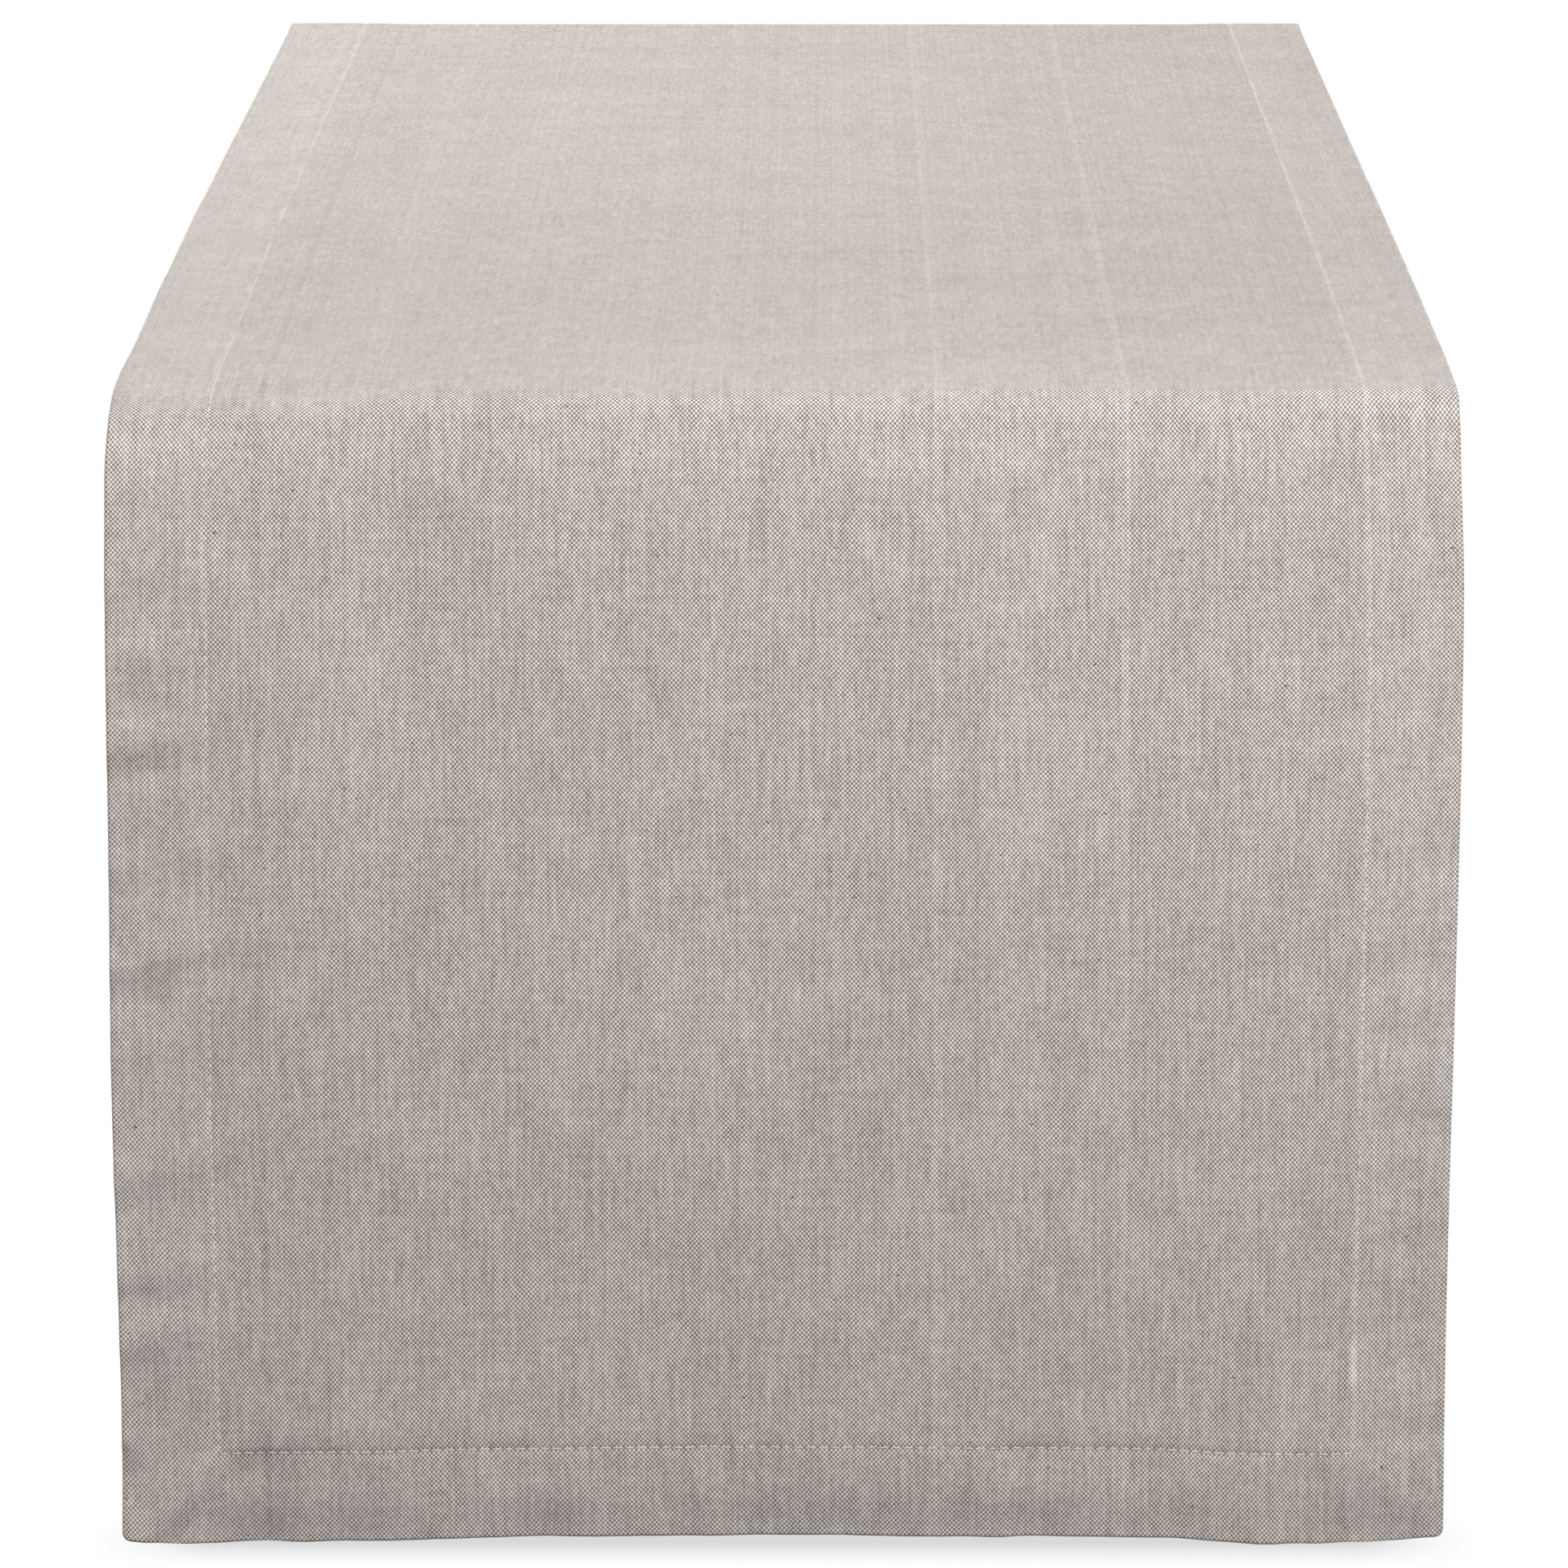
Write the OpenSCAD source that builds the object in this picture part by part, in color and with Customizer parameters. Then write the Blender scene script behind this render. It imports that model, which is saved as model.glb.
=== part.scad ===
// Table runner, draped along a table top so that both of its ends hang down.
// The origin is the centre of the flat top's underside, where the cloth rests on the table.
// +Z points up, +Y runs along the runner and +X runs across it. Sizes are in millimetres.
// The cloth's margins are folded under twice, so each hem has two layers beneath the face.

/* [Runner] */
// Finished width across the runner
runner_w = 355.6; // [250:0.1:500]
// Finished length of the runner when it lies flat
runner_l = 1828.8; // [1500:0.1:2700]
// Thickness of one layer of the cloth
cloth_t = 0.5; // [0.3:0.1:0.8]

/* [Table under the runner] */
// Length of the table top that the runner lies along
table_l = 1219.2; // [900:0.1:1300]
// Inner radius of the bend over each end of the table
bend_r = 8; // [3:1:15]

/* [Hems] */
// Depth of the hem, from the folded edge to its inner edge
hem_w = 26.5; // [15:0.5:40]
// Distance from a hem's inner edge to its line of stitching
stitch_inset = 1.5; // [1:0.5:4]
// Width of the sewn joint between two hems at a corner
seam_w = 0.4; // [0.3:0.1:0.8]

/* [Sewing thread] */
// Width of the thread
thread_w = 0.4; // [0.3:0.1:0.6]
// Height of the thread, proud of the face and sunk into the underside
thread_h = 0.2; // [0.1:0.05:0.25]

/* [Care label] */
// Length of the blank label, across the runner
label_l = 42; // [30:1:60]
// Width of the blank label, down the back drop
label_w = 28; // [20:1:40]
// Thickness of the label ribbon
label_t = 0.2; // [0.1:0.1:0.4]
// Length of the label's end that the hem stitching catches
label_catch = 4; // [3:0.5:6]
// Height of the label's centre above the bottom edge
label_rise = 110; // [60:1:180]

/* [Hidden] */
$fn = 96;

CLOTH_COLOUR = "#b9b0aa";
HEM_COLOUR = "#aca39d";
THREAD_COLOUR = "#efe9e0";
LABEL_COLOUR = "#f4f1ec";

LEFT = -1;
RIGHT = 1;
FRONT = -1;
BACK = 1;

// Clearance by which a cutting shape passes the cloth
past = 1;
half_w = runner_w / 2;
edge_y = table_l / 2;
flat_y = edge_y - bend_r;
turned_t = 2 * cloth_t;
hem_t = turned_t + cloth_t;
bend_l = PI / 2 * (bend_r + cloth_t / 2);
drop_l = (runner_l - 2 * flat_y - 2 * bend_l) / 2;
bottom_z = -bend_r - drop_l;
stitch_x = half_w - hem_w + stitch_inset;
stitch_z = bottom_z + hem_w - stitch_inset;
mitre_step = seam_w / sqrt(2);

// Outline in the length-and-height plane of all that lies within a drape standing off the table
module within_drape(stand_off, low_z) {
    reach = edge_y + stand_off;
    translate([-reach, low_z])
        square([2 * reach, -bend_r - low_z]);
    translate([-flat_y, low_z])
        square([2 * flat_y, stand_off - low_z]);
    for (end = [FRONT, BACK])
        translate([end * flat_y, -bend_r])
            circle(r = bend_r + stand_off);
}

// One layer over the top and down both drops, between two distances off the table
module drape_layer(inner, outer) {
    translate([-half_w, 0, 0])
        rotate([90, 0, 90])
            linear_extrude(runner_w)
                difference() {
                    within_drape(outer, bottom_z);
                    within_drape(inner, bottom_z - past);
                }
}

// Extrudes an outline drawn across and up through both drops
module through_drops() {
    rotate([90, 0, 0])
        linear_extrude(table_l + 2 * (hem_t + past), center = true)
            children();
}

// All of the runner that lies more than the inset from its edges
module inside_edges(inset) {
    through_drops()
        translate([-half_w + inset, bottom_z + inset])
            square([runner_w - 2 * inset, hem_t + past - bottom_z - inset]);
}

// The half of the runner towards one end
module end_half(end) {
    depth = edge_y + hem_t + past;
    translate([-half_w - past, end == FRONT ? -depth : 0, bottom_z - past])
        cube([runner_w + 2 * past, depth, 2 * past + hem_t - bottom_z]);
}

// The two turned layers all round, with the fold that joins them to the face
module turned_under() {
    difference() {
        drape_layer(0, hem_t);
        inside_edges(hem_w);
        intersection() {
            drape_layer(turned_t, hem_t + past);
            inside_edges(cloth_t);
        }
    }
}

// The part of the margin that a side hem takes, above the mitre lines
module side_margin(side) {
    through_drops()
        polygon([
            [side * (half_w + past), bottom_z - past + mitre_step],
            [side * (half_w - hem_w - past), bottom_z + hem_w + past + mitre_step],
            [side * (half_w - hem_w - past), hem_t + past],
            [side * (half_w + past), hem_t + past],
        ]);
}

// The part of the margin that an end hem takes, between the mitre lines
module end_margin(end) {
    outer_x = half_w + past - mitre_step;
    inner_x = half_w - hem_w - past - mitre_step;
    intersection() {
        end_half(end);
        through_drops()
            polygon([
                [-outer_x, bottom_z - past],
                [outer_x, bottom_z - past],
                [inner_x, bottom_z + hem_w + past],
                [-inner_x, bottom_z + hem_w + past],
            ]);
    }
}

// A stitching line along one side, over the top and down both drops
module side_stitch_line(side) {
    through_drops()
        translate([side * stitch_x - thread_w / 2, stitch_z - thread_w / 2])
            square([thread_w, hem_t + past - stitch_z]);
}

// A stitching line along one end, between the two side lines
module end_stitch_line(end) {
    intersection() {
        end_half(end);
        through_drops()
            translate([-stitch_x + thread_w / 2, stitch_z - thread_w / 2])
                square([2 * stitch_x - thread_w, thread_w]);
    }
}

// Where the needle thread lies, proud of the face
module above_face() {
    drape_layer(hem_t, hem_t + thread_h);
}

// Where the bobbin thread lies, sunk into the underside
module in_underside() {
    drape_layer(0, thread_h);
}

module ground_cloth() {
    color(CLOTH_COLOUR)
        difference() {
            intersection() {
                drape_layer(0, hem_t);
                inside_edges(cloth_t);
            }
            difference() {
                drape_layer(-past, turned_t);
                inside_edges(hem_w);
            }
            intersection() {
                drape_layer(cloth_t, hem_t + past);
                inside_edges(hem_w + cloth_t);
            }
        }
}

module side_hem(side) {
    color(HEM_COLOUR)
        difference() {
            intersection() {
                turned_under();
                side_margin(side);
            }
            side_bobbin_thread(side);
        }
}

module end_hem(end) {
    color(HEM_COLOUR)
        difference() {
            intersection() {
                turned_under();
                end_margin(end);
            }
            end_bobbin_thread(end);
        }
}

module side_needle_thread(side) {
    color(THREAD_COLOUR)
        intersection() {
            above_face();
            side_stitch_line(side);
        }
}

module end_needle_thread(end) {
    color(THREAD_COLOUR)
        intersection() {
            above_face();
            end_stitch_line(end);
        }
}

module side_bobbin_thread(side) {
    color(THREAD_COLOUR)
        intersection() {
            in_underside();
            side_stitch_line(side);
        }
}

module end_bobbin_thread(end) {
    color(THREAD_COLOUR)
        intersection() {
            in_underside();
            end_stitch_line(end);
        }
}

// The joint that closes a corner, between the mitred ends of two hems
module mitre_seam(end, side) {
    slant = side == LEFT ? 45 : 135;
    color(THREAD_COLOUR)
        intersection() {
            turned_under();
            end_half(end);
            through_drops()
                translate([side * half_w, bottom_z])
                    rotate(slant)
                        translate([-past, -seam_w / 2])
                            square([2 * hem_w, seam_w]);
        }
}

// A blank folded ribbon on the inner face of the back drop, caught by the left hem's stitching
module care_label() {
    color(LABEL_COLOUR)
        translate([-half_w + hem_w - label_catch, edge_y - label_t, bottom_z + label_rise - label_w / 2])
            cube([label_l, label_t, label_w]);
}

ground_cloth();
side_hem(LEFT);  // left_hem
side_hem(RIGHT);  // right_hem
end_hem(FRONT);  // front_hem
end_hem(BACK);  // back_hem
side_needle_thread(LEFT);  // left_needle_thread
side_needle_thread(RIGHT);  // right_needle_thread
end_needle_thread(FRONT);  // front_needle_thread
end_needle_thread(BACK);  // back_needle_thread
side_bobbin_thread(LEFT);  // left_bobbin_thread
side_bobbin_thread(RIGHT);  // right_bobbin_thread
end_bobbin_thread(FRONT);  // front_bobbin_thread
end_bobbin_thread(BACK);  // back_bobbin_thread
mitre_seam(FRONT, LEFT);  // front_left_mitre_seam
mitre_seam(FRONT, RIGHT);  // front_right_mitre_seam
mitre_seam(BACK, LEFT);  // back_left_mitre_seam
mitre_seam(BACK, RIGHT);  // back_right_mitre_seam
care_label();
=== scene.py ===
"""A chambray table runner, draped over a table top with a drop at each end.

Everything is in metres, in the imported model's frame: +Z up, +Y along the runner, the front drop at -Y.
A place on the cloth is (across, along): across runs from the left edge at -HALF_WIDTH to the right edge,
and along is measured on the cloth itself, from the front end at 0 to the back end at LENGTH.
"""

import math

import bpy
import numpy as np
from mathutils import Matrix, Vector


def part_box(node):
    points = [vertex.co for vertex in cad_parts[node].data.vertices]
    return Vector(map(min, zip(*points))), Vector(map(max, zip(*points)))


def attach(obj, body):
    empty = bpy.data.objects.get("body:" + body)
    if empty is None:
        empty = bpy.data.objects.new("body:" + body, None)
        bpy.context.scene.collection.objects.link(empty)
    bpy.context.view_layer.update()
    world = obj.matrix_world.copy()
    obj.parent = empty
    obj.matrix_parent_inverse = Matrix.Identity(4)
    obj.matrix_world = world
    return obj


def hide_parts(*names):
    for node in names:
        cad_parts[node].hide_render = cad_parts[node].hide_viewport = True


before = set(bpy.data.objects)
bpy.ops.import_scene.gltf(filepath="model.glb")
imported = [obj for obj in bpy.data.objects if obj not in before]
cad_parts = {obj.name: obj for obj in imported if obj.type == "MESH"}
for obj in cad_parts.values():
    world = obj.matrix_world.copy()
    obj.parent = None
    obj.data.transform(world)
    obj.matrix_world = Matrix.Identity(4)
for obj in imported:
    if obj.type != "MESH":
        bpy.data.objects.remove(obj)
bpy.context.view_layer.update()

MM = 0.001

# ---------------------------------------------------------------------------------------------------
# Sizes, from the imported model
# ---------------------------------------------------------------------------------------------------

right_hem_low, right_hem_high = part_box("right_hem")
back_hem_low, back_hem_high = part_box("back_hem")
needle_low, needle_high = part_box("right_needle_thread")
label_low, label_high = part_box("care_label")

LAYER = 0.5 * MM
HEM_STACK = 3 * LAYER
BEND_RADIUS = 8 * MM
HALF_WIDTH = right_hem_high.x
HEM_DEPTH = right_hem_high.x - right_hem_low.x
STITCH_DEPTH = HALF_WIDTH - (needle_low.x + needle_high.x) / 2
EDGE_Y = back_hem_high.y - HEM_STACK
BOTTOM_Z = back_hem_low.z
DROP = -BEND_RADIUS - BOTTOM_Z
BEND = math.pi / 2 * (BEND_RADIUS + LAYER / 2)
FLAT = 2 * (EDGE_Y - BEND_RADIUS)
LENGTH = FLAT + 2 * BEND + 2 * DROP

# How far each line of stitching lies from its own edge: a sewn hem isn't even all round.
LEFT_STITCH = STITCH_DEPTH + 1.3 * MM
RIGHT_STITCH = STITCH_DEPTH - 0.4 * MM
END_STITCH = STITCH_DEPTH - 0.5 * MM
STITCH_PITCH = 3.2 * MM

WARP_PITCH = 0.593 * MM
WEFT_PITCH = 0.64 * MM

# ---------------------------------------------------------------------------------------------------
# Curves and random fields, the same on every run
# ---------------------------------------------------------------------------------------------------


def smooth(x):
    """An eased step from 0 to 1."""
    x = np.clip(x, 0.0, 1.0)
    return x * x * (3 - 2 * x)


def bump(x, centre, width):
    """A rounded hump of height 1 about its centre."""
    return np.exp(-(((x - centre) / width) ** 2))


def through(x, knots):
    """An eased curve through (position, value) knots, both in millimetres, as metres."""
    x = np.asarray(x, float)
    value = np.full(x.shape, knots[0][1] * MM)
    for (start, low), (stop, high) in zip(knots, knots[1:]):
        value = value + (high - low) * MM * smooth((x - start * MM) / ((stop - start) * MM))
    return value


def field(x, y, seed):
    """Value noise from -1 to 1, with one random value at each whole number."""
    table = np.random.default_rng(seed).uniform(-1, 1, (64, 64))
    x, y = np.broadcast_arrays(np.asarray(x, float), np.asarray(y, float))
    column, row = np.floor(x).astype(int), np.floor(y).astype(int)
    u, v = smooth(x - column), smooth(y - row)
    near_near, far_near = table[column % 64, row % 64], table[(column + 1) % 64, row % 64]
    near_far, far_far = table[column % 64, (row + 1) % 64], table[(column + 1) % 64, (row + 1) % 64]
    return (near_near * (1 - u) + far_near * u) * (1 - v) + (near_far * (1 - u) + far_far * u) * v


# ---------------------------------------------------------------------------------------------------
# How the cloth hangs, with every knot in millimetres
# ---------------------------------------------------------------------------------------------------

FRONT_DROP = {
    "seed": 3,
    # How far each edge is drawn in, from the bottom, past the bend at 0 to 13, to the middle of the top
    "left_edge": (
        (-290, 2.4), (-155, -0.3), (-40, -0.8), (-15, -0.65),
        (12, 0.8), (32, 1.7), (90, 1.7), (300, 0.5), (500, -0.2),
    ),
    "right_edge": (
        (-290, 2.7), (-45, -0.95), (-5, 0.15),
        (3, 0.5), (13, 1.1), (90, 0.6), (300, 0.2), (500, 0),
    ),
    # How far the bottom hem stands out, and how far it is raised, from the left edge to the right
    "lobes": ((-178, 2.5), (-150, 6.5), (-10, 1.0), (125, 6.5), (178, 2.0)),
    "raised": (
        (-178, 2.1), (-158, 1.4), (-140, 1.8), (-114, 1.9), (-85, 2.6),
        (20, 2.9), (97, 3.2), (125, 1.9), (158, 1.1), (178, 1.9),
    ),
    # How far the side edges curl back towards the table, from the bottom up
    "left_curl": ((-300, 0), (-250, 1.6), (-195, 4.0), (-125, 3.6), (-50, 0)),
    "right_curl": ((-300, 4.5), (-130, 2.0), (-20, 0)),
    # How much of the bend's corner is cut off, from the left edge to the right
    "softened": ((-178, 4.6), (-140, 4.0), (-95, 2.0), (110, 1.1), (178, 0.1)),
    # How far the stiff cloth rises over the bend, in metres
    "stiff": 0.0,
    # Each crease across the left hem: depth below the bend, height, half its width, and reach
    "creases": (
        (34, 0.80, 5.0, 34),
        (58, 0.50, 5.0, 28),
        (80, 1.00, 5.0, 36),
        (111, 0.95, 4.5, 36),
        (139, 1.15, 4.5, 50),
        (164, 0.60, 4.0, 28),
        (194, 1.65, 7.0, 42),
        (222, 0.95, 4.5, 36),
        (239, 0.85, 4.5, 34),
        (265, 0.80, 5.0, 34),
        (306, 4.50, 26.0, 38),
    ),
    # Where the bottom edge is turned under further, or less: place across, how much, and half its width
    "tucks": (
        (-172, -1.3, 8),
        (-140, 2.6, 8),
        (-117, 2.1, 8),
        (-62, 1.5, 9),
        (-20, -1.1, 10),
        (66, 1.9, 6),
        (104, 0.8, 10),
        (130, -1.6, 8),
        (162, -1.2, 8),
    ),
}
BACK_DROP = {
    "seed": 31,
    "left_edge": ((-290, 2.2), (-120, 0.2), (-15, -0.5), (3, 0), (13, -0.3), (500, -0.3)),
    "right_edge": ((-290, 1.8), (-150, -0.2), (-15, -0.6), (3, 0), (13, 0.1), (500, 0.1)),
    "lobes": ((-178, 2.0), (-105, 6.0), (20, 1.5), (150, 5.5), (178, 2.5)),
    "raised": ((-178, 1.6), (-140, 0.8), (10, 2.2), (120, 0.7), (178, 1.4)),
    "left_curl": ((-300, 3.5), (-140, 2.5), (-30, 0)),
    "right_curl": ((-300, 2.0), (-200, 4.0), (-40, 0)),
    "softened": ((-178, 0), (0, 0)),
    "stiff": 0.5 * MM,
    "creases": ((58, 0.5, 5.0, 30), (104, 0.7, 5.0, 34), (166, 0.6, 5.5, 30), (222, 0.7, 5.0, 32)),
    "tucks": ((-120, 1.5, 8), (-30, -1.0, 10), (40, 1.6, 8), (120, 1.2, 9)),
}

# How far a drop stands off the table, how soon below the bend, and how slowly it comes back
STAND_OFF = 2.6 * MM
STAND_OFF_RISE = 9 * MM
STAND_OFF_FADE = 260 * MM
STAND_OFF_EASE = 8 * MM
# How far in from a side edge its curl and its drawing in reach
CURL_REACH = 52 * MM
DRAWN_REACH = 110 * MM
# The drops' random waves in millimetres: height, grain across and along, and depth at which they are full
DROP_WAVES = ((0.50, 46, 120, 40), (0.14, 15, 42, 30))
# How widely the bend's corner is softened, above its middle and below it
SOFT_ABOVE = 15 * MM
SOFT_BELOW = 13 * MM
STIFF_WIDTH = 22 * MM
# How steeply a crease rises towards the middle, and the hollow under it: its share of the crease's
# height, and how far below it lies, in millimetres
CREASE_SLOPE = 0.28
CREASE_HOLLOW = 0.35
CREASE_HOLLOW_BELOW = 9
# How far the bottom edge is turned under, and over what height
TURNED = 1.4 * MM
TURNED_HEIGHT = 17 * MM
HEM_PUCKER = 0.75 * MM
HEM_FINE_PUCKER = 0.30 * MM
# Heights of the side hems' ripples, of the top's unevenness and of the ladder along its left hem
SIDE_PUCKER = 0.34 * MM
SIDE_FINE_PUCKER = 0.15 * MM
TOP_WAVE = 0.16 * MM
TOP_FINE_WAVE = 0.06 * MM
LADDER_HEIGHT = 0.11 * MM
LADDER_PITCH = 26 * MM


def table_line(along):
    """The table's outline beneath the cloth: y, z and the outward normal's y and z."""
    near = np.minimum(along, LENGTH - along)
    end = np.where(along < LENGTH / 2, -1.0, 1.0)
    turn = np.clip((near - DROP) / BEND, 0, 1) * math.pi / 2
    inward = np.maximum(near - DROP - BEND, 0)
    normal_y = end * np.cos(turn)
    normal_z = np.sin(turn)
    y = end * (EDGE_Y - BEND_RADIUS + BEND_RADIUS * np.cos(turn) - inward)
    z = -BEND_RADIUS + BEND_RADIUS * np.sin(turn) + np.minimum(near, DROP) - DROP
    return y, z, normal_y, normal_z


def hem_creases(across, hang, creases):
    """Soft rolls across the left hem, each rising towards the middle of the cloth."""
    from_edge = HALF_WIDTH + across
    rise = CREASE_SLOPE * (from_edge - HEM_DEPTH)
    total = 0.0
    for depth, height, width, reach in creases:
        roll = bump(hang, depth * MM - rise, width * MM)
        hollow = bump(hang, (depth + CREASE_HOLLOW_BELOW) * MM - rise, width * MM)
        above = roll - CREASE_HOLLOW * hollow
        total = total + height * MM * above * smooth(1 - from_edge / (reach * MM)) ** 0.7
    return total


def end_shape(across, near, shape):
    """How far an end of the cloth stands out from the table's outline, shifts aside and is raised."""
    seed, left = shape["seed"], across < 0
    run = near - DROP
    hang = np.maximum(-run, 0)
    eased_hang = (np.hypot(run, STAND_OFF_EASE) - run) / 2
    low = hang / DROP
    from_edge = HALF_WIDTH - np.abs(across)

    out = STAND_OFF * (1 - np.exp(-eased_hang / STAND_OFF_RISE)) * np.exp(-hang / STAND_OFF_FADE)
    out = out + through(across, shape["lobes"]) * low**1.6
    curl = np.where(left, through(run, shape["left_curl"]), through(run, shape["right_curl"]))
    out = out - curl * smooth(1 - from_edge / CURL_REACH)
    out = out + hem_creases(across, hang, shape["creases"])
    for step, (height, grain_across, grain_along, full_at) in enumerate(DROP_WAVES):
        wave = field(across / (grain_across * MM), near / (grain_along * MM), seed + step)
        out = out + height * MM * wave * smooth(hang / (full_at * MM))
    soft_width = np.where(run > BEND / 2, SOFT_ABOVE, SOFT_BELOW)
    out = out - through(across, shape["softened"]) * bump(run, BEND / 2, soft_width)
    out = out + shape["stiff"] * bump(run, BEND, STIFF_WIDTH)
    out = out + bottom_hem(across, near, shape)

    drawn_in = np.where(left, through(run, shape["left_edge"]), through(run, shape["right_edge"]))
    sideways = -np.sign(across) * drawn_in * smooth(1 - from_edge / DRAWN_REACH)
    return out, sideways, through(across, shape["raised"]) * low**2


def bottom_hem(across, near, shape):
    """The end hem's lower part turned under a little, with puckers drawn up by its stitching."""
    seed = shape["seed"]
    in_hem = smooth((HEM_DEPTH + 3 * MM - near) / (6 * MM))
    turned = TURNED * (1 + 0.3 * field(across / (24 * MM), 0.5, seed + 2))
    for centre, depth, width in shape["tucks"]:
        turned = turned + depth * MM * bump(across, centre * MM, width * MM)
    puckers = HEM_PUCKER * field(across / (8 * MM) + near / (60 * MM), near / (22 * MM), seed + 3)
    fine = HEM_FINE_PUCKER * field(across / (3.6 * MM) + near / (40 * MM), near / (12 * MM), seed + 4)
    return (puckers + fine) * in_hem - turned * smooth(1 - near / TURNED_HEIGHT) ** 1.5


def side_hem_puckers(across, near, seed):
    """Small ripples across the side hems."""
    in_hem = smooth((HEM_DEPTH + 3 * MM - (HALF_WIDTH - np.abs(across))) / (6 * MM))
    above_end = smooth((near - HEM_DEPTH) / (8 * MM)) * (1 - 0.75 * smooth((near - DROP) / BEND))
    wide = SIDE_PUCKER * field(across / (24 * MM), near / (8 * MM), seed)
    fine = SIDE_FINE_PUCKER * field(across / (11 * MM), near / (3.6 * MM), seed + 1)
    return (wide + fine) * in_hem * above_end


def top_shape(across, inward):
    """The slight unevenness of the flat top, with a ladder of ripples along the left hem."""
    from_edge = HALF_WIDTH - np.abs(across)
    rest = smooth(inward / (30 * MM))
    up = TOP_WAVE * (1 + field(across / (70 * MM), inward / (160 * MM), 11)) * rest
    up = up + TOP_FINE_WAVE * (1 + field(across / (22 * MM), inward / (60 * MM), 12)) * rest
    stray = field(across / (18 * MM), inward / (70 * MM), 13)
    ladder = LADDER_HEIGHT * (1 + np.sin(2 * math.pi * inward / LADDER_PITCH + 2.2 * stray))
    reach = smooth(1 - from_edge / (34 * MM)) * smooth(1 - np.abs(inward - 150 * MM) / (170 * MM))
    return up + np.where(across < 0, ladder * reach, 0.0)


def front_left_crease(across, near):
    """A faint crease that climbs from the front drop's lower left corner."""
    foot, head = (-118 * MM, DROP - 275 * MM), (-58 * MM, DROP - 253 * MM)
    run_across, run_up = head[0] - foot[0], head[1] - foot[1]
    length = math.hypot(run_across, run_up)
    on = ((across - foot[0]) * run_across + (near - foot[1]) * run_up) / length
    off = ((near - foot[1]) * run_across - (across - foot[0]) * run_up) / length
    faded = smooth(on / (14 * MM)) * smooth((length - on) / (20 * MM))
    return 0.35 * MM * bump(off, 0, 3.5 * MM) * faded


def cloth(across, along, height):
    """Points at a height above the underside of the draped cloth, with the cloth's outward normal."""
    across, along = np.broadcast_arrays(np.asarray(across, float), np.asarray(along, float))
    near = np.minimum(along, LENGTH - along)
    inward = np.maximum(near - DROP - BEND, 0)
    front = along < LENGTH / 2
    y, z, normal_y, normal_z = table_line(along)

    shapes = (end_shape(across, near, FRONT_DROP), end_shape(across, near, BACK_DROP))
    out, sideways, raised = (np.where(front, a, b) for a, b in zip(*shapes))
    out = out + side_hem_puckers(across, near, 21) + top_shape(across, inward)
    out = out + np.where(front, front_left_crease(across, near), 0.0)

    lift = out + height
    points = np.stack([across + sideways, y + normal_y * lift, z + normal_z * lift + raised], -1)
    normals = np.stack([np.zeros_like(y), normal_y, normal_z], -1)
    return points, normals


# ---------------------------------------------------------------------------------------------------
# The sheet: a face, an underside and a rounded fold between them
# ---------------------------------------------------------------------------------------------------

CORNER_ROUND = 2.4 * MM
# How far the face steps down inside the stitching, over what distance, and how deep each seam's groove is
FACE_STEP = 0.3 * MM
FACE_STEP_WIDTH = 16 * MM
FACE_GROOVE = 0.22 * MM
UNDER_GROOVE = 0.15 * MM
# The ridge over a mitre's fold and the hollow beside it
MITRE_RIDGE = 1.2 * MM
MITRE_HOLLOW = 4.8 * MM
MITRE_HOLLOW_WIDTH = 17 * MM
RIGHT_MITRE_SHARE = 0.25


def stations(stops):
    """Distances from the first stop to the last, each stretch at its own spacing."""
    found = []
    for (start, spacing), (stop, _) in zip(stops, stops[1:]):
        count = max(1, round((stop - start) / spacing))
        found.extend(start + (stop - start) * k / count for k in range(count))
    return np.array(found + [stops[-1][0]])


def hem_stops(inner_spacing):
    """Stations over a hem: close at the fold and where its inner edge steps down."""
    return [
        (0.0, 0.75 * MM),
        (1.5 * MM, 1.7 * MM),
        (HEM_DEPTH - 4 * MM, 0.55 * MM),
        (HEM_DEPTH + 3.5 * MM, inner_spacing),
    ]


def across_stations():
    """From the left edge to the right, as distances from the left edge."""
    half = stations([*hem_stops(3.9 * MM), (HALF_WIDTH, 0)])
    return np.concatenate([half, (2 * HALF_WIDTH - half)[::-1][1:]])


def along_stations():
    """From the front end to the back, with more rows where the cloth bends or ripples."""
    front = stations([
        *hem_stops(2.0 * MM),
        (DROP - 12 * MM, 1.1 * MM),
        (DROP + BEND + 14 * MM, 3.4 * MM),
        (DROP + BEND + 330 * MM, 8 * MM),
        (LENGTH / 2, 0),
    ])
    back = stations([
        *hem_stops(2.9 * MM),
        (DROP - 12 * MM, 1.4 * MM),
        (DROP + BEND + 14 * MM, 8 * MM),
        (LENGTH / 2, 0),
    ])
    return np.concatenate([front, (LENGTH - back)[::-1][1:]])


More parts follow.
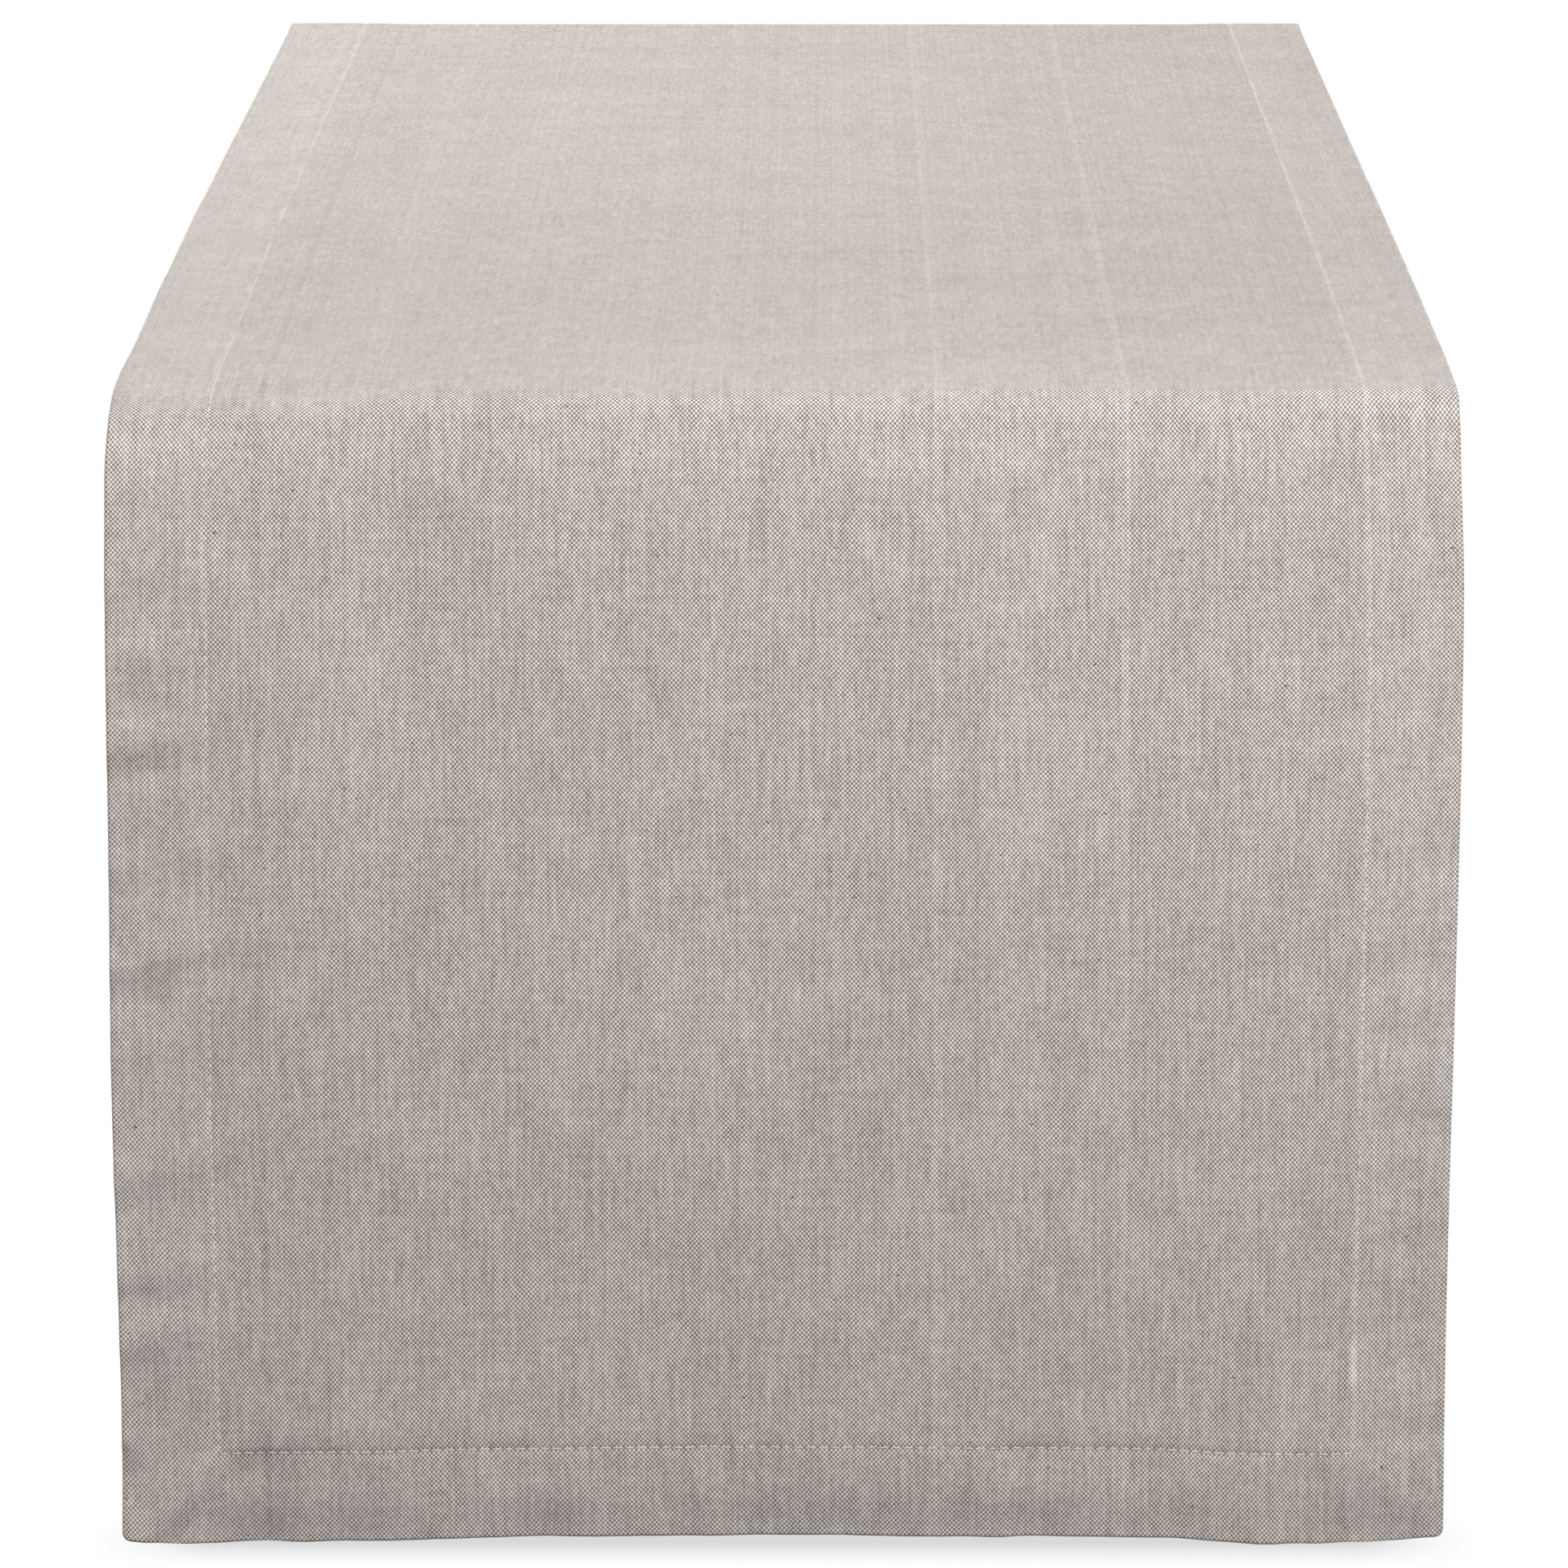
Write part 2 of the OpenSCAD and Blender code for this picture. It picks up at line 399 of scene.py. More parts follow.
def rounded(across, along):
    """Draws the sheet's square corners in to a small radius, ring by ring."""
    to_side = HALF_WIDTH - np.abs(across)
    to_end = np.minimum(along, LENGTH - along)
    ring = np.minimum(to_side, to_end)
    far = np.maximum(to_side, to_end)
    radius = np.maximum(CORNER_ROUND - ring, 1e-9)
    angle = math.pi / 4 * np.clip((CORNER_ROUND - far) / radius, 0, 1)
    in_corner = (far < CORNER_ROUND) & (ring < CORNER_ROUND)
    new_far = np.where(in_corner, CORNER_ROUND - radius * np.sin(angle), far)
    new_ring = np.where(in_corner, CORNER_ROUND - radius * np.cos(angle), ring)
    side_is_ring = to_side <= to_end
    new_side = np.where(side_is_ring, new_ring, new_far)
    new_end = np.where(side_is_ring, new_far, new_ring)
    return (
        np.sign(across) * (HALF_WIDTH - new_side),
        np.where(along < LENGTH / 2, new_end, LENGTH - new_end),
    )


def stitch_distance(across, along):
    """How far inside the stitching a place is: below 0 in the hems, above 0 on the ground cloth."""
    beside = np.where(
        across < 0,
        HALF_WIDTH + across - LEFT_STITCH,
        HALF_WIDTH - across - RIGHT_STITCH,
    )
    return np.minimum(beside, np.minimum(along, LENGTH - along) - END_STITCH)


def mitre_relief(across, along):
    """The ridge over each corner's folded diagonal, with a hollow beside it in the end hem."""
    to_side = HALF_WIDTH - np.abs(across)
    to_end = np.minimum(along, LENGTH - along)
    lean, start = np.where(across < 0, 0.8, 1.0), np.where(across < 0, 7.5 * MM, 0.0)
    off = (to_side - start - lean * to_end) / np.hypot(1, lean)
    on_hem = smooth((HEM_DEPTH - np.maximum(to_side, to_end)) / (4 * MM))
    ridge = MITRE_RIDGE * bump(off, -1.1 * MM, 2.3 * MM) * on_hem
    beside = smooth((HEM_DEPTH + 24 * MM - to_side) / (30 * MM)) * smooth((HEM_DEPTH - to_end) / (5 * MM))
    hollow = MITRE_HOLLOW * smooth((off + 1 * MM) / MITRE_HOLLOW_WIDTH) * beside
    strength = np.where(across < 0, 1.0, RIGHT_MITRE_SHARE)
    return (ridge - hollow) * strength


def face_height(across, along):
    """How high the face stands over the table: a pressed hem steps down only a little."""
    inside = stitch_distance(across, along)
    step = smooth((inside - 1 * MM) / FACE_STEP_WIDTH)
    groove = FACE_GROOVE * bump(inside, 0, 0.9 * MM)
    return HEM_STACK - FACE_STEP * step - groove + mitre_relief(across, along)


def under_height(across, along):
    """How high the underside stands: a layer under the level face, and down to the table in the hems.

    It doesn't follow mitre_relief(), so beside the two left mitres the face passes through it: a fault.
    """
    to_edge = np.minimum(HALF_WIDTH - np.abs(across), np.minimum(along, LENGTH - along))
    inside = stitch_distance(across, along)
    groove = UNDER_GROOVE * bump(inside, 0, 0.8 * MM)
    ground = HEM_STACK - LAYER - FACE_STEP * smooth((inside - 1 * MM) / FACE_STEP_WIDTH)
    share = smooth((to_edge - HEM_DEPTH) / (0.6 * MM))
    return groove + (ground - groove) * share


def sheet_grid():
    """The places of the sheet's rows and columns."""
    across, along = np.meshgrid(across_stations() - HALF_WIDTH, along_stations(), indexing="ij")
    return across, along


def border(count_across, count_along):
    """The grid indices round the outline, once round."""
    bottom = [(i, 0) for i in range(count_across)]
    right = [(count_across - 1, j) for j in range(1, count_along)]
    top = [(i, count_along - 1) for i in range(count_across - 2, -1, -1)]
    left = [(0, j) for j in range(count_along - 2, 0, -1)]
    return bottom + right + top + left


def border_index(columns, rows):
    """The same indices as a pair of arrays."""
    ring = border(columns, rows)
    return np.array([i for i, _ in ring]), np.array([j for _, j in ring])


def grid_quads(grid):
    """The four corners of each cell of a grid of vertices."""
    return np.stack([grid[:-1, :-1], grid[1:, :-1], grid[1:, 1:], grid[:-1, 1:]], -1).reshape(-1, 4)


FOLD_RADIUS = HEM_STACK / 2
FOLD_STEPS = 6


def make_cloth():
    """One closed mesh: the face, the fold all round, and the underside with its hems."""
    across, along = sheet_grid()
    columns, rows = across.shape
    inset_across = across * (HALF_WIDTH - FOLD_RADIUS) / HALF_WIDTH
    inset_along = FOLD_RADIUS + along * (LENGTH - 2 * FOLD_RADIUS) / LENGTH
    flat_across, flat_along = rounded(inset_across, inset_along)
    inner = (flat_across, flat_along)

    face, _ = cloth(*inner, face_height(*inner))
    under, _ = cloth(*inner, under_height(*inner))

    index = border_index(columns, rows)
    edge_across, edge_along = flat_across[index], flat_along[index]
    before = np.roll(np.stack([edge_across, edge_along], -1), 1, 0)
    after = np.roll(np.stack([edge_across, edge_along], -1), -1, 0)
    run = after - before
    outward = np.stack([run[:, 1], -run[:, 0]], -1)
    outward /= np.linalg.norm(outward, axis=1, keepdims=True)
    top_height = face_height(edge_across, edge_along)
    low_height = under_height(edge_across, edge_along)
    fold, fold_places = [], []
    for k in range(1, FOLD_STEPS):
        angle = math.pi * k / FOLD_STEPS
        reach = FOLD_RADIUS * math.sin(angle)
        share = (1 + math.cos(angle)) / 2
        place_across = edge_across + outward[:, 0] * reach
        place_along = edge_along + outward[:, 1] * reach
        height = low_height + (top_height - low_height) * share
        points, _ = cloth(edge_across, edge_along, height)
        points = points + rim_offset(edge_across, edge_along, outward, reach)
        fold.append(points)
        fold_places.append(np.stack([place_across, place_along], -1))

    vertices = np.concatenate([face.reshape(-1, 3), under.reshape(-1, 3), *fold])
    places = np.concatenate([
        np.stack(inner, -1).reshape(-1, 2),
        np.stack(inner, -1).reshape(-1, 2),
        *fold_places,
    ])

    grid = np.arange(columns * rows).reshape(columns, rows)
    quads = grid_quads(grid)
    faces = [quads, quads[:, ::-1] + grid.size]
    around = len(edge_across)
    rim = [grid[index]]
    rim += [2 * grid.size + k * around + np.arange(around) for k in range(FOLD_STEPS - 1)]
    rim += [grid[index] + grid.size]
    for upper, lower in zip(rim, rim[1:]):
        faces.append(np.stack([upper, lower, np.roll(lower, -1), np.roll(upper, -1)], -1))
    return mesh_piece("runner_cloth", vertices, np.concatenate(faces).tolist(), places)


def rim_offset(across, along, outward, reach):
    """The fold's own bulge beyond the edge, outward in the plane of the cloth."""
    _, _, normal_y, normal_z = table_line(along)
    forward = np.stack([np.zeros_like(normal_y), normal_z, -normal_y], -1)
    sideways = np.array([1.0, 0.0, 0.0])
    return reach * (outward[:, :1] * sideways + outward[:, 1:] * forward)


def mesh_piece(name, vertices, faces, places=None):
    """A smooth mesh object, with the cloth's own coordinates as its UV map where they are given."""
    mesh = bpy.data.meshes.new(name)
    mesh.from_pydata(np.asarray(vertices).tolist(), [], faces)
    mesh.polygons.foreach_set("use_smooth", [True] * len(mesh.polygons))
    if places is not None:
        corner_vertices = np.zeros(len(mesh.loops), dtype=np.int32)
        mesh.loops.foreach_get("vertex_index", corner_vertices)
        layer = mesh.uv_layers.new(name="cloth")
        layer.data.foreach_set("uv", np.asarray(places)[corner_vertices].ravel())
    mesh.update()
    piece = bpy.data.objects.new(name, mesh)
    bpy.context.scene.collection.objects.link(piece)
    return piece


# ---------------------------------------------------------------------------------------------------
# Stitches
# ---------------------------------------------------------------------------------------------------

THREAD = 0.36 * MM
STITCH_SIDES = 6
STITCH_RINGS = 6
# How deep the side hems' stitches may sink into the cloth, and how far a line of stitching may stray
SIDE_SUNK = 0.19 * MM
STITCH_STRAY = 0.25 * MM
MITRE_PITCH = 2.3 * MM
MITRE_ZIGZAG = 0.45 * MM


def stitches(name, places, face, seed, length_share=0.78, sunk=0.0):
    """A row of separate stitches from needle hole to needle hole, sunk unevenly by up to this depth."""
    places = np.asarray(places)
    random = np.random.default_rng(seed)
    starts, ends = places[:-1], places[1:]
    middle = (starts + ends) / 2
    half = (ends - starts) / 2 * length_share
    count = len(starts)
    half = half * random.uniform(0.92, 1.06, (count, 1))
    swing = random.uniform(-0.10, 0.10, (count, 1)) * np.stack([-half[:, 1], half[:, 0]], -1)
    depth = sunk * smooth(0.75 + 0.9 * field(np.arange(count) / 9, 0.5, seed))
    share = np.linspace(-1, 1, STITCH_RINGS)
    vertices = []
    for ring, t in enumerate(share):
        place = middle + half * t + swing * t
        level = face_height(*place.T) if face else under_height(*place.T)
        arch = (1 - t**4) * THREAD * 0.55 - THREAD * 0.28 - depth
        centre, normal = cloth(*place.T, level + (arch if face else -arch))
        ahead, _ = cloth(*(place + half * 0.05).T, level)
        behind, _ = cloth(*(place - half * 0.05).T, level)
        run = ahead - behind
        run /= np.linalg.norm(run, axis=1, keepdims=True)
        side = np.cross(run, normal)
        side /= np.linalg.norm(side, axis=1, keepdims=True)
        thick = THREAD / 2 * math.sqrt(max(0.12, 1 - abs(t) ** 3))
        for k in range(STITCH_SIDES):
            angle = 2 * math.pi * k / STITCH_SIDES
            vertices.append(centre + thick * (math.cos(angle) * side * 1.15 + math.sin(angle) * normal * 0.8))
    vertices = np.stack(vertices, 1)
    size = STITCH_SIDES * STITCH_RINGS
    one = []
    for ring in range(STITCH_RINGS - 1):
        for k in range(STITCH_SIDES):
            a = ring * STITCH_SIDES + k
            b = ring * STITCH_SIDES + (k + 1) % STITCH_SIDES
            one.append((a, b, b + STITCH_SIDES, a + STITCH_SIDES))
    faces = (np.array(one)[None] + size * np.arange(count)[:, None, None]).reshape(-1, 4).tolist()
    for k in range(count):
        first = [size * k + i for i in range(STITCH_SIDES)]
        last = [size * (k + 1) - STITCH_SIDES + i for i in range(STITCH_SIDES)]
        faces += [first[::-1], last]
    return mesh_piece(name, vertices.reshape(-1, 3), faces)


def holes(start, stop, pitch=STITCH_PITCH):
    """Evenly spaced needle holes from one place on the cloth to another."""
    start, stop = np.array(start), np.array(stop)
    count = max(2, round(float(np.linalg.norm(stop - start)) / pitch))
    return start + (stop - start) * np.linspace(0, 1, count + 1)[:, None]


def wander(places, seed, amount):
    """Lets a line of stitching stray a little from side to side, but not at its ends."""
    places = np.array(places)
    run = places[-1] - places[0]
    across_run = np.array([-run[1], run[0]]) / np.linalg.norm(run)
    t = np.linspace(0, 1, len(places))
    stray = field(t * np.linalg.norm(run) / (38 * MM), 0.5, seed) * amount
    stray = stray * smooth(t * 30) * smooth((1 - t) * 30)
    return places + stray[:, None] * across_run


LEFT_X = -HALF_WIDTH + LEFT_STITCH
RIGHT_X = HALF_WIDTH - RIGHT_STITCH
STITCH_LINES = {
    "left": ((LEFT_X, END_STITCH), (LEFT_X, LENGTH - END_STITCH)),
    "right": ((RIGHT_X, END_STITCH), (RIGHT_X, LENGTH - END_STITCH)),
    "front": ((LEFT_X, END_STITCH), (RIGHT_X, END_STITCH)),
    "back": ((LEFT_X, LENGTH - END_STITCH), (RIGHT_X, LENGTH - END_STITCH)),
}


def make_stitching():
    """The needle thread on the face and the bobbin thread beneath, along each hem."""
    made = []
    for seed, (side, (start, stop)) in enumerate(STITCH_LINES.items()):
        line = wander(holes(start, stop), 40 + seed, STITCH_STRAY)
        sunk = SIDE_SUNK if side in ("left", "right") else 0
        needle = stitches(f"{side}_stitching", line, True, seed, sunk=sunk)
        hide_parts(f"{side}_needle_thread")
        between = (line[:-1] + line[1:]) / 2
        bobbin = stitches(f"{side}_bobbin_stitching", between, False, 10 + seed)
        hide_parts(f"{side}_bobbin_thread")
        made += [needle, bobbin]
    return made


def make_mitres():
    """The sewn diagonal at each corner of the underside."""
    made = []
    for end in ("front", "back"):
        for side in ("left", "right"):
            sign = -1 if side == "left" else 1
            stitch = LEFT_STITCH if side == "left" else RIGHT_STITCH
            outer, inner = 2.2 * MM, min(stitch, END_STITCH) - 1.0 * MM
            start = (sign * (HALF_WIDTH - outer), outer)
            stop = (sign * (HALF_WIDTH - inner), inner)
            places = holes(start, stop, MITRE_PITCH)
            if end == "back":
                places[:, 1] = LENGTH - places[:, 1]
            zigzag = np.zeros_like(places)
            zigzag[::2] = (MITRE_ZIGZAG * sign, MITRE_ZIGZAG * (1 if end == "front" else -1))
            zigzag[1::2] = -zigzag[0]
            zigzag[:, 1] *= -1
            seam = stitches(f"{end}_{side}_mitre_stitching", places + zigzag, False, 60 + len(made), 0.9)
            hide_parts(f"{end}_{side}_mitre_seam")
            made.append(seam)
    return made


# ---------------------------------------------------------------------------------------------------
# Care label
# ---------------------------------------------------------------------------------------------------


LABEL_CURL = 1.6 * MM
LABEL_RIPPLE = 0.25 * MM


def make_label():
    """A blank satin ribbon, caught by the left hem's stitching on the inner face of the back drop."""
    length, width = label_high.x - label_low.x, label_high.z - label_low.z
    thickness = label_high.y - label_low.y
    centre_along = LENGTH - ((label_low.z + label_high.z) / 2 - BOTTOM_Z)
    columns, rows = 29, 15
    points = []
    for under in (False, True):
        for i in range(columns):
            t = i / (columns - 1)
            for j in range(rows):
                v = j / (rows - 1) - 0.5
                place = (label_low.x + length * t, centre_along + width * v)
                level = float(under_height(*place)) if t < 0.2 else float(under_height(*place)) * (1 - t)
                curl = LABEL_CURL * smooth((t - 0.15) / 0.85) ** 2 * (1 + 0.5 * v)
                curl = curl + LABEL_RIPPLE * math.sin(7 * t + 3 * v)
                depth = -0.12 * MM - float(curl) * smooth(t * 6) - (thickness if under else 0)
                point, _ = cloth(*place, min(level, 0.2 * MM) + depth)
                points.append(point)
    grid = np.arange(columns * rows).reshape(columns, rows)
    quads = grid_quads(grid)
    edge = grid[border_index(columns, rows)]
    rim = np.stack([edge, edge + grid.size, np.roll(edge, -1) + grid.size, np.roll(edge, -1)], -1)
    steps = (np.linspace(0, length, columns), np.linspace(0, width, rows))
    places = np.stack(np.meshgrid(*steps, indexing="ij"), -1)
    places = np.concatenate([places.reshape(-1, 2)] * 2)
    faces = np.concatenate([quads, quads[:, ::-1] + grid.size, rim]).tolist()
    label = mesh_piece("care_label_ribbon", np.array(points), faces, places)
    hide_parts("care_label")
    return label


# ---------------------------------------------------------------------------------------------------
# Materials
# ---------------------------------------------------------------------------------------------------


class Shader:
    """Short calls for building one material's nodes."""

    def __init__(self, name):
        self.material = bpy.data.materials.new(name)
        self.material.use_nodes = True
        self.tree = self.material.node_tree
        self.surface = self.tree.nodes["Principled BSDF"]

    def put(self, value, socket):
        """Links an output to a socket, or sets the socket's own value."""
        if isinstance(value, bpy.types.NodeSocket):
            self.tree.links.new(value, socket)
        else:
            socket.default_value = value

    def math(self, operation, *values):
        node = self.tree.nodes.new("ShaderNodeMath")
        node.operation = operation
        for value, socket in zip(values, node.inputs):
            self.put(value, socket)
        return node.outputs[0]

    def ramp(self, value, low, high, to_low=0.0, to_high=1.0):
        """A clamped linear change from one range to another."""
        node = self.tree.nodes.new("ShaderNodeMapRange")
        for item, socket in zip((value, low, high, to_low, to_high), node.inputs):
            self.put(item, socket)
        return node.outputs[0]

    def place(self):
        """The cloth's own coordinates, across and along."""
        node = self.tree.nodes.new("ShaderNodeUVMap")
        node.uv_map = "cloth"
        split = self.tree.nodes.new("ShaderNodeSeparateXYZ")
        self.tree.links.new(node.outputs[0], split.inputs[0])
        return split.outputs[0], split.outputs[1]

    def vector(self, x, y, z=0.0):
        node = self.tree.nodes.new("ShaderNodeCombineXYZ")
        for value, socket in zip((x, y, z), node.inputs):
            self.put(value, socket)
        return node.outputs[0]

    def noise(self, x, y, scale_x, scale_y, seed=0.0, detail=2.0):
        """Noise from about 0.25 to 0.75, with its own scale across and along."""
        node = self.tree.nodes.new("ShaderNodeTexNoise")
        across = self.math("MULTIPLY", x, scale_x)
        along = self.math("MULTIPLY", y, scale_y)
        self.put(self.vector(across, along, seed), node.inputs["Vector"])
        node.inputs["Scale"].default_value = 1.0
        node.inputs["Detail"].default_value = detail
        return node.outputs["Fac"]

    def per_yarn(self, count, seed):
        """One random number for each whole yarn."""
        node = self.tree.nodes.new("ShaderNodeTexWhiteNoise")
        node.noise_dimensions = "2D"
        self.put(self.vector(self.math("FLOOR", count), seed), node.inputs["Vector"])
        return node.outputs["Value"]

    def mix(self, share, first, second):
        node = self.tree.nodes.new("ShaderNodeMix")
        node.data_type = "RGBA"
        self.put(share, node.inputs["Factor"])
        self.put(first, node.inputs["A"])
        self.put(second, node.inputs["B"])
        return node.outputs["Result"]

    def bump(self, height, distance, strength):
        node = self.tree.nodes.new("ShaderNodeBump")
        node.inputs["Strength"].default_value = strength
        node.inputs["Distance"].default_value = distance
        self.put(height, node.inputs["Height"])
        self.put(node.outputs[0], self.surface.inputs["Normal"])


# How far the two yarns differ in tone where they cross
WEAVE_CONTRAST = 0.66
DARK_YARN = (0.154, 0.121, 0.104, 1)
LIGHT_YARN = (0.890, 0.826, 0.778, 1)
SLUB_BROWN = (0.070, 0.048, 0.036, 1)
# Painted shade in the end hems' needle holes: its colour, then how strongly it is laid on
HOLE_PAINTED_SHADE = (0.060, 0.045, 0.038, 1)
HOLE_STRENGTH = 0.40
# A small pale spot on the front drop's right-hand stitching, as (across, along).
SPOT = (HALF_WIDTH - RIGHT_STITCH - 0.3 * MM, 49 * MM)
# Brown specks of seed husk on the front drop, as (across, along).
SPECKS = ((161 * MM, 20.5 * MM), (-128.5 * MM, 282 * MM), (-149 * MM, 271 * MM))
SPECK_RADIUS = 0.55 * MM
# How much paler the side hems look, where no light passes through their three layers.
HEM_PALER = 0.045
# Single warp ends that took the dye unevenly, as (across, how much lighter or darker).
STREAKS = ((40.5 * MM, 0.045), (90 * MM, 0.075), (-138 * MM, -0.07))


def weave_material(name):
    """Plain weave of white yarn across taupe yarn, with uneven yarns, streaks and slubs."""
    shader = Shader(name)
    across, along = shader.place()
    stray = shader.noise(across, along, 260, 260, 1.0)
    warp = shader.math("MULTIPLY_ADD", stray, 0.7, shader.math("MULTIPLY", across, 1 / WARP_PITCH))
    stray = shader.noise(across, along, 260, 260, 5.0)
    weft = shader.math("MULTIPLY_ADD", stray, 0.7, shader.math("MULTIPLY", along, 1 / WEFT_PITCH))
    wave_warp = shader.math("SINE", shader.math("MULTIPLY", warp, math.pi))
    wave_weft = shader.math("SINE", shader.math("MULTIPLY", weft, math.pi))
    checker = shader.math("MULTIPLY", wave_warp, wave_weft)

    tone = shader.math("MULTIPLY", checker, WEAVE_CONTRAST)
    # Each cause of an uneven tone and its weight: whole yarns, long and short thick places, then patches
    parts = (
        (shader.per_yarn(warp, 3.0), 0.07),
        (shader.per_yarn(weft, 9.0), 0.03),
        (shader.noise(across, along, 1650, 36, 2.0), 0.30),
        (shader.noise(across, along, 60, 1500, 3.0), 0.20),
        (shader.noise(across, along, 800, 110, 9.5), 0.33),
        (shader.noise(across, along, 620, 420, 4.0, 3.0), 0.50),
        (shader.noise(across, along, 110, 70, 6.0, 3.0), 0.23),
        (shader.noise(across, along, 20, 16, 12.0, 1.0), 0.13),
    )
    for source, weight in parts:
        shifted = shader.math("SUBTRACT", source, 0.5)
        tone = shader.math("MULTIPLY_ADD", shifted, weight, tone)
    for streak, strength in STREAKS:
        off = shader.math("ABSOLUTE", shader.math("SUBTRACT", across, streak))
        tone = shader.math("ADD", tone, shader.ramp(off, 0.3 * MM, 1.3 * MM, strength, 0.0))
    from_end = shader.math("MINIMUM", along, shader.math("SUBTRACT", LENGTH, along))
    off_end = shader.math("ABSOLUTE", shader.math("SUBTRACT", from_end, END_STITCH))
    off_left = shader.math("ABSOLUTE", shader.math("SUBTRACT", across, LEFT_X))
    off_right = shader.math("ABSOLUTE", shader.math("SUBTRACT", across, RIGHT_X))
    off_side = shader.math("MINIMUM", off_left, off_right)
    tone = shader.math("ADD", tone, shader.ramp(off_side, 0.5 * MM, 1.2 * MM, 0.05, 0.0))
    beside_spot = shader.math("SUBTRACT", across, SPOT[0])
    along_spot = shader.math("SUBTRACT", along, SPOT[1])
    in_spot = shader.math(
        "MULTIPLY",
        shader.ramp(shader.math("ABSOLUTE", beside_spot), 0.3 * MM, 1.6 * MM, 0.3, 0.0),
        shader.ramp(shader.math("ABSOLUTE", along_spot), 4 * MM, 8 * MM, 1.0, 0.0),
    )
    tone = shader.math("ADD", tone, in_spot)
    beside_stitching = shader.math("SUBTRACT", shader.math("ABSOLUTE", across), HALF_WIDTH - STITCH_DEPTH)
    tone = shader.math("ADD", tone, shader.ramp(beside_stitching, -1 * MM, 1 * MM, 0.0, HEM_PALER))
    tone = shader.math("POWER", shader.ramp(tone, -0.60, 0.60), 1.22)

    colour = shader.mix(tone, DARK_YARN, LIGHT_YARN)
    slub = shader.ramp(shader.noise(across, along, 620, 900, 8.0, 1.0), 0.755, 0.79, 0.0, 0.85)
    colour = shader.mix(slub, colour, SLUB_BROWN)
    fleck = shader.ramp(shader.noise(across, along, 1680, 420, 11.0, 1.0), 0.75, 0.79, 0.0, 0.7)
    colour = shader.mix(fleck, colour, LIGHT_YARN)
    for speck_across, speck_along in SPECKS:
        beside = shader.math("SUBTRACT", across, speck_across)
        beyond = shader.math("SUBTRACT", along, speck_along)
        squared = shader.math("MULTIPLY_ADD", beside, beside, shader.math("MULTIPLY", beyond, beyond))
        speck = shader.ramp(shader.math("SQRT", squared), 0.5 * SPECK_RADIUS, SPECK_RADIUS, 0.75, 0.0)
        colour = shader.mix(speck, colour, SLUB_BROWN)
    # Painted shade in the needle holes along the end hems
    colour = shader.mix(needle_hole_painted_shade(shader, across, off_end), colour, HOLE_PAINTED_SHADE)
    shader.put(colour, shader.surface.inputs["Base Color"])
    shader.surface.inputs["Roughness"].default_value = 0.86
    shader.surface.inputs["Specular IOR Level"].default_value = 0.22
    shader.surface.inputs["Sheen Weight"].default_value = 0.10
    shader.surface.inputs["Sheen Roughness"].default_value = 0.5
    relief = shader.math("ABSOLUTE", checker)
    shader.bump(relief, 0.10 * MM, 0.45)
    return shader.material


def needle_hole_painted_shade(shader, across, off_end):
    """Painted shade where the needle went in along the end hems: a dark mark between one stitch and the next.
    """
    pitch = (RIGHT_X - LEFT_X) / round((RIGHT_X - LEFT_X) / STITCH_PITCH)
    count = shader.math("DIVIDE", shader.math("SUBTRACT", across, LEFT_X), pitch)
    narrow = shader.ramp(shader.math("PINGPONG", count, 0.5), 0.04, 0.09, 1, 0)
    short = shader.ramp(off_end, 0.5 * MM, 1.0 * MM, 1, 0)
    within = shader.math("COMPARE", across, (LEFT_X + RIGHT_X) / 2, (RIGHT_X - LEFT_X) / 2 + 0.2 * MM)
    mark = shader.math("MULTIPLY", narrow, short)
    return shader.math("MULTIPLY", mark, shader.math("MULTIPLY", within, HOLE_STRENGTH))


def thread_material():
    """Cream cotton thread, with the twist of its strands."""
    shader = Shader("cream_thread")
    node = shader.tree.nodes.new("ShaderNodeTexCoord")
    wave = shader.tree.nodes.new("ShaderNodeTexWave")
    wave.wave_type = "BANDS"
    wave.bands_direction = "DIAGONAL"
    wave.inputs["Scale"].default_value = 900
    wave.inputs["Distortion"].default_value = 1.5
    shader.tree.links.new(node.outputs["Object"], wave.inputs["Vector"])
    colour = shader.mix(wave.outputs["Fac"], (0.62, 0.58, 0.52, 1), (0.82, 0.78, 0.72, 1))
    shader.put(colour, shader.surface.inputs["Base Color"])
    shader.surface.inputs["Roughness"].default_value = 0.6
    shader.surface.inputs["Sheen Weight"].default_value = 0.1
    shader.bump(wave.outputs["Fac"], 0.05 * MM, 0.5)
    return shader.material


def ribbon_material():
    """White satin ribbon: long floats along its length, crossed by a fine rib."""
    shader = Shader("satin_ribbon")
    across, along = shader.place()
    floats = shader.noise(across, along, 300, 5200, 2.0)
    rib = shader.math("SINE", shader.math("MULTIPLY", across, 2 * math.pi / (0.3 * MM)))
    tone = shader.math("MULTIPLY_ADD", rib, 0.12, floats)
    colour = shader.mix(tone, (0.78, 0.76, 0.72, 1), (0.92, 0.91, 0.88, 1))
    shader.put(colour, shader.surface.inputs["Base Color"])
    shader.surface.inputs["Roughness"].default_value = 0.38
    shader.bump(tone, 0.03 * MM, 0.5)
    return shader.material


# ---------------------------------------------------------------------------------------------------
# Studio
# ---------------------------------------------------------------------------------------------------

CAMERA_BACK = 3.4538
CAMERA_UP = 0.366
CAMERA_ASIDE = 11.7 * MM
CAMERA_PITCH = math.radians(7.748)
CAMERA_YAW = math.radians(0.194)
CAMERA_LENS = 303.7


